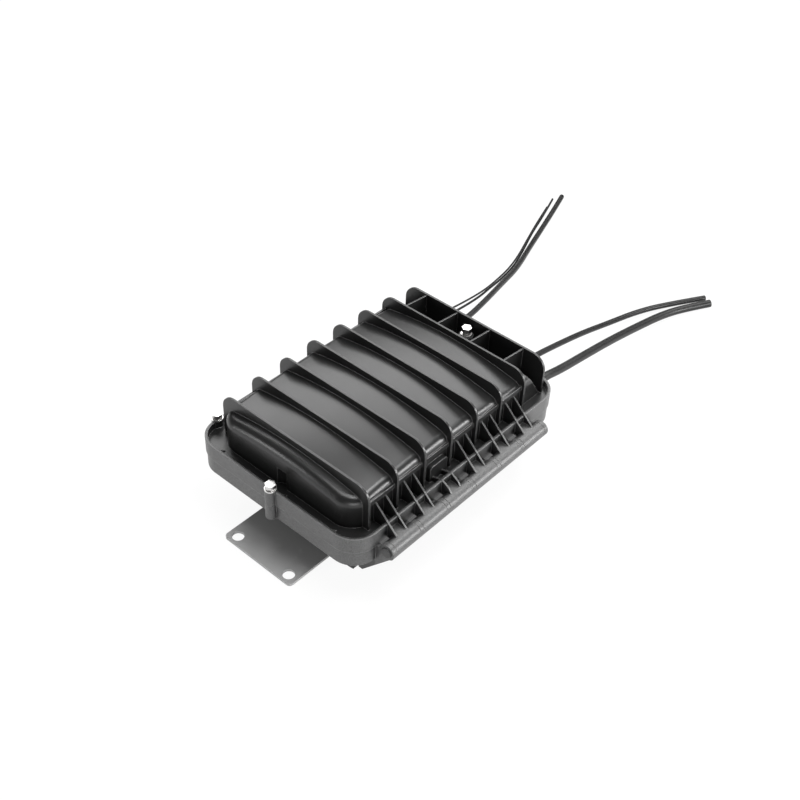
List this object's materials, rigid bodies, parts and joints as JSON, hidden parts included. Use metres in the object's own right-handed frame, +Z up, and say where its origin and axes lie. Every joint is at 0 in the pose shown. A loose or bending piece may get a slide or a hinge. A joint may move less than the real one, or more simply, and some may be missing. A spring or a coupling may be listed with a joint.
{
  "type": "inline_splice_closure",
  "caption": "Inline fibre splice closure: ribbed lid hinged on a gasketed tub, splice trays inside, cable ports at one end and a flat mounting bracket below",
  "frame": {"origin": "centre of the bracket's hole pattern, on the bracket's underside", "axes": "+X along the closure toward the cable ports, +Y away from the lid hinge, +Z up"},
  "size_m": [0.7887, 0.3344, 0.1366],
  "materials": {
    "black_moulding": "moulded black plastic with a soft sheen",
    "bracket_steel": "light grey coated sheet steel",
    "brass_inserts": "turned brass",
    "cable_jacket": "extruded black cable jacket",
    "clear_sleeves": "translucent heat shrink sleeve",
    "dark_moulding": "moulded dark grey plastic",
    "grey_moulding": "moulded pale grey plastic",
    "holder_moulding": "moulded off white plastic",
    "seal_rubber": "moulded black rubber",
    "zinc_steel": "zinc plated steel"
  },
  "bodies": {
    "base": {"base_shell": "black_moulding", "tray_carrier": "dark_moulding", "clamp_bar": "dark_moulding", "hinge_caps": "dark_moulding", "cable_straps": "zinc_steel", "perimeter_gasket": "seal_rubber", "seal_main": "seal_rubber", "seal_drop": "seal_rubber", "seal_feed": "seal_rubber", "seal_trunk": "seal_rubber", "hinge_pin": "zinc_steel", "bracket_screws": "zinc_steel", "carrier_screws": "zinc_steel", "tray_pins": "zinc_steel", "thread_inserts": "brass_inserts", "mounting_bracket": "bracket_steel", "cable_main": "cable_jacket", "cable_drop_a": "cable_jacket", "cable_drop_b": "cable_jacket", "cable_feed": "cable_jacket", "cable_trunk": "cable_jacket"},
    "lid": {"lid_shell": "black_moulding", "cover_washers": "zinc_steel"},
    "bolt_front_body": {"bolt_front": "zinc_steel"},
    "bolt_side_front_body": {"bolt_side_front": "zinc_steel"},
    "bolt_side_middle_body": {"bolt_side_middle": "zinc_steel"},
    "bolt_side_rear_body": {"bolt_side_rear": "zinc_steel"},
    "bolt_far_body": {"bolt_far": "zinc_steel"},
    "tray_lower_body": {"tray_lower": "grey_moulding", "splice_holder_1": "holder_moulding", "splice_sleeves_1": "clear_sleeves"},
    "tray_middle_body": {"tray_middle": "grey_moulding", "splice_holder_2": "holder_moulding", "splice_sleeves_2": "clear_sleeves"},
    "tray_upper_body": {"tray_upper": "grey_moulding", "splice_holder_3": "holder_moulding", "splice_sleeves_3": "clear_sleeves"}
  },
  "joints": [
    {"name": "lid_hinge", "type": "hinge", "parent": "base", "child": "lid", "pos_m": [0, -0.127, 0.069], "axis": [1, 0, 0], "range_deg": [0, 110]},
    {"name": "bolt_front_lift", "type": "slide", "parent": "lid", "child": "bolt_front_body", "axis": [0, 0, 1], "range_m": [0, 0.012]},
    {"name": "bolt_side_front_lift", "type": "slide", "parent": "lid", "child": "bolt_side_front_body", "axis": [0, 0, 1], "range_m": [0, 0.012]},
    {"name": "bolt_side_middle_lift", "type": "slide", "parent": "lid", "child": "bolt_side_middle_body", "axis": [0, 0, 1], "range_m": [0, 0.012]},
    {"name": "bolt_side_rear_lift", "type": "slide", "parent": "lid", "child": "bolt_side_rear_body", "axis": [0, 0, 1], "range_m": [0, 0.012]},
    {"name": "bolt_far_lift", "type": "slide", "parent": "lid", "child": "bolt_far_body", "axis": [0, 0, 1], "range_m": [0, 0.012]},
    {"name": "tray_lower_hinge", "type": "hinge", "parent": "base", "child": "tray_lower_body", "pos_m": [0, -0.078, 0.0721], "axis": [1, 0, 0], "range_deg": [0, 15.4]},
    {"name": "tray_middle_hinge", "type": "hinge", "parent": "base", "child": "tray_middle_body", "pos_m": [0, -0.078, 0.0836], "axis": [1, 0, 0], "range_deg": [0, 29.7]},
    {"name": "tray_upper_hinge", "type": "hinge", "parent": "base", "child": "tray_upper_body", "pos_m": [0, -0.078, 0.0951], "axis": [1, 0, 0], "range_deg": [0, 44]}
  ],
  "couplings": [
    {"joint": "tray_lower_hinge", "follows": "lid_hinge", "ratio": 0.14},
    {"joint": "tray_middle_hinge", "follows": "lid_hinge", "ratio": 0.27},
    {"joint": "tray_upper_hinge", "follows": "lid_hinge", "ratio": 0.4}
  ]
}
